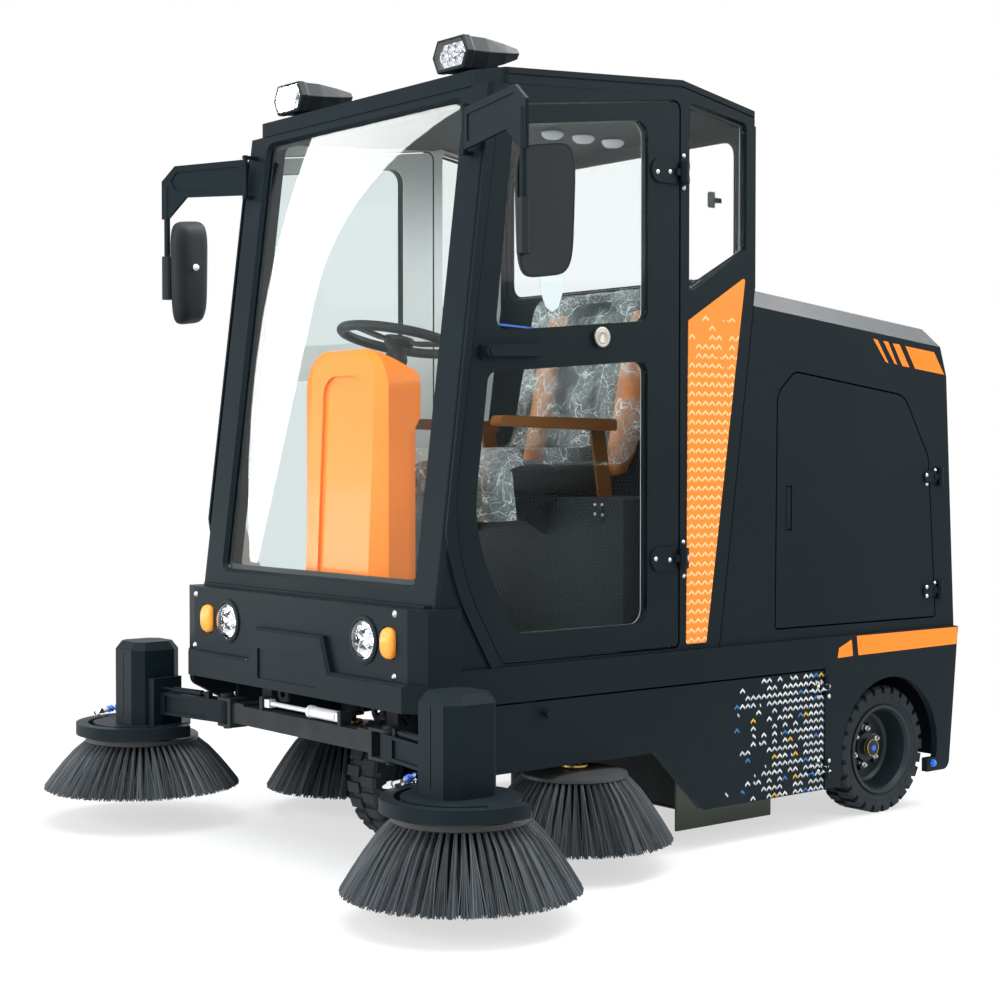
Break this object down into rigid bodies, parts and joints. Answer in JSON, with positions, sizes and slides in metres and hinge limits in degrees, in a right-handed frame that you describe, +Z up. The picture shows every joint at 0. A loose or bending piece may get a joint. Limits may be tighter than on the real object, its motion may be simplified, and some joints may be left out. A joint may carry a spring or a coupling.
{
  "type": "compact road sweeper",
  "caption": "Compact ride-on road sweeper with a glazed cab, flared side brushes on swinging arms, a main roller brush and a rear waste housing with side doors.",
  "frame": {"origin": "on the floor under the middle of the machine's overall box", "axes": "+X to the machine's left, -Y to its front, +Z up"},
  "size_m": [2.136, 2.4157, 2.1623],
  "materials": {
    "body_paint": "satin near-black powder coat",
    "frame_paint": "matt black frame paint",
    "accent_orange": "gloss orange",
    "tinted_glass": "smoke green tint",
    "tyre_rubber": "matt",
    "rim_paint": "satin black",
    "bristle": "charcoal polypropylene",
    "black_plastic": "fine grained",
    "clear_lens": "clear",
    "amber_lens": "amber, gloss",
    "red_lens": "red, gloss",
    "seat_vinyl": "black vinyl with orange edges",
    "cab_grey": "satin grey",
    "green_rubber": "translucent olive",
    "battery_case": "matt",
    "bare_steel": "zinc plated"
  },
  "bodies": {
    "chassis": {"chassis_frame": "frame_paint", "cab_floor": "cab_grey", "lower_body_left": "body_paint", "lower_body_right": "body_paint", "lower_rear_panel": "body_paint", "front_bumper": "body_paint", "cab_front_frame": "body_paint", "cab_side_left": "body_paint", "cab_side_right": "body_paint", "cab_rear_wall": "body_paint", "roof_panel": "body_paint", "cab_glass": "tinted_glass", "quarter_panels": "accent_orange", "rear_housing": "body_paint", "battery_pack": "battery_case", "waste_bin": "frame_paint", "rear_axle": "frame_paint", "lamp_lenses": "clear_lens", "amber_lamps": "amber_lens", "red_lamps": "red_lens", "roof_lamps": "black_plastic", "mirror_brackets": "body_paint", "mirrors": "black_plastic", "instrument_cowl": "accent_orange", "steering_column": "black_plastic", "pedals": "black_plastic", "armrests": "accent_orange", "seat_box": "cab_grey", "seat_cushion": "seat_vinyl", "seat_backrest": "seat_vinyl", "roller_hood": "frame_paint", "debris_flaps": "green_rubber", "front_brush_beam": "frame_paint", "lift_cylinder": "cab_grey", "inner_brush_motors": "frame_paint"},
    "steering_wheel": {"steering_wheel": "black_plastic"},
    "fork": {"steering_fork": "frame_paint"},
    "front_wheel": {"front_tyre": "tyre_rubber", "front_rim": "rim_paint"},
    "rear_wheel_left": {"rear_tyre_left": "tyre_rubber", "rear_rim_left": "rim_paint"},
    "cab_door_left": {"cab_door_left": "body_paint", "cab_door_left_glass": "tinted_glass"},
    "housing_door_left": {"housing_door_left": "body_paint"},
    "skirt_door_left": {"skirt_door_left": "body_paint"},
    "front_arm_left": {"front_brush_arm_left": "body_paint"},
    "front_brush_left": {"front_brush_left": "bristle"},
    "inner_brush_left": {"inner_brush_left": "bristle"},
    "rear_wheel_right": {"rear_tyre_right": "tyre_rubber", "rear_rim_right": "rim_paint"},
    "cab_door_right": {"cab_door_right": "body_paint", "cab_door_right_glass": "tinted_glass"},
    "housing_door_right": {"housing_door_right": "body_paint"},
    "skirt_door_right": {"skirt_door_right": "body_paint"},
    "front_arm_right": {"front_brush_arm_right": "body_paint"},
    "front_brush_right": {"front_brush_right": "bristle"},
    "inner_brush_right": {"inner_brush_right": "bristle"},
    "main_roller": {"main_roller": "bristle"}
  },
  "joints": [
    {"name": "front_wheel_steer", "type": "hinge", "parent": "chassis", "child": "fork", "pos_m": [0, -0.47807, 0.42], "axis": [0, 0, 1], "range_deg": [-45, 45]},
    {"name": "front_wheel_spin", "type": "hinge", "parent": "fork", "child": "front_wheel", "pos_m": [0, -0.47807, 0.1925], "axis": [1, 0, 0], "continuous": true},
    {"name": "steering_wheel_turn", "type": "hinge", "parent": "chassis", "child": "steering_wheel", "pos_m": [0, -0.53417, 1.396], "axis": [0, 0.2079, 0.9781], "range_deg": [-180, 180]},
    {"name": "rear_wheel_left_spin", "type": "hinge", "parent": "chassis", "child": "rear_wheel_left", "pos_m": [0.499, 0.87493, 0.1925], "axis": [1, 0, 0], "continuous": true},
    {"name": "cab_door_left_open", "type": "hinge", "parent": "chassis", "child": "cab_door_left", "pos_m": [0.585, -0.00407, 1.348], "axis": [0, 0, 1], "range_deg": [0, 80]},
    {"name": "housing_door_left_open", "type": "hinge", "parent": "chassis", "child": "housing_door_left", "pos_m": [0.58, 1.11293, 0.844], "axis": [0, 0, 1], "range_deg": [0, 100]},
    {"name": "skirt_door_left_open", "type": "hinge", "parent": "chassis", "child": "skirt_door_left", "pos_m": [0.592, 0.57643, 0.29], "axis": [0, 0, 1], "range_deg": [0, 100]},
    {"name": "front_arm_left_swing", "type": "hinge", "parent": "chassis", "child": "front_arm_left", "pos_m": [0.4, -0.85007, 0.372], "axis": [0, 0, 1], "range_deg": [-25, 4]},
    {"name": "front_brush_left_spin", "type": "hinge", "parent": "front_arm_left", "child": "front_brush_left", "pos_m": [0.78, -0.92007, 0.23], "axis": [0, 0, 1], "continuous": true},
    {"name": "inner_brush_left_spin", "type": "hinge", "parent": "chassis", "child": "inner_brush_left", "pos_m": [0.52, -0.34007, 0.25], "axis": [0, 0, 1], "continuous": true},
    {"name": "rear_wheel_right_spin", "type": "hinge", "parent": "chassis", "child": "rear_wheel_right", "pos_m": [-0.499, 0.87493, 0.1925], "axis": [1, 0, 0], "continuous": true},
    {"name": "cab_door_right_open", "type": "hinge", "parent": "chassis", "child": "cab_door_right", "pos_m": [-0.585, -0.00407, 1.348], "axis": [0, 0, -1], "range_deg": [0, 80]},
    {"name": "housing_door_right_open", "type": "hinge", "parent": "chassis", "child": "housing_door_right", "pos_m": [-0.58, 1.11293, 0.844], "axis": [0, 0, -1], "range_deg": [0, 100]},
    {"name": "skirt_door_right_open", "type": "hinge", "parent": "chassis", "child": "skirt_door_right", "pos_m": [-0.592, 0.57643, 0.29], "axis": [0, 0, -1], "range_deg": [0, 100]},
    {"name": "front_arm_right_swing", "type": "hinge", "parent": "chassis", "child": "front_arm_right", "pos_m": [-0.4, -0.85007, 0.372], "axis": [0, 0, -1], "range_deg": [-25, 4]},
    {"name": "front_brush_right_spin", "type": "hinge", "parent": "front_arm_right", "child": "front_brush_right", "pos_m": [-0.78, -0.92007, 0.23], "axis": [0, 0, 1], "continuous": true},
    {"name": "inner_brush_right_spin", "type": "hinge", "parent": "chassis", "child": "inner_brush_right", "pos_m": [-0.52, -0.34007, 0.25], "axis": [0, 0, 1], "continuous": true},
    {"name": "main_roller_spin", "type": "hinge", "parent": "chassis", "child": "main_roller", "pos_m": [0, 0.37493, 0.164], "axis": [1, 0, 0], "continuous": true}
  ],
  "couplings": [
    {"joint": "steering_wheel_turn", "follows": "front_wheel_steer", "ratio": 4}
  ]
}
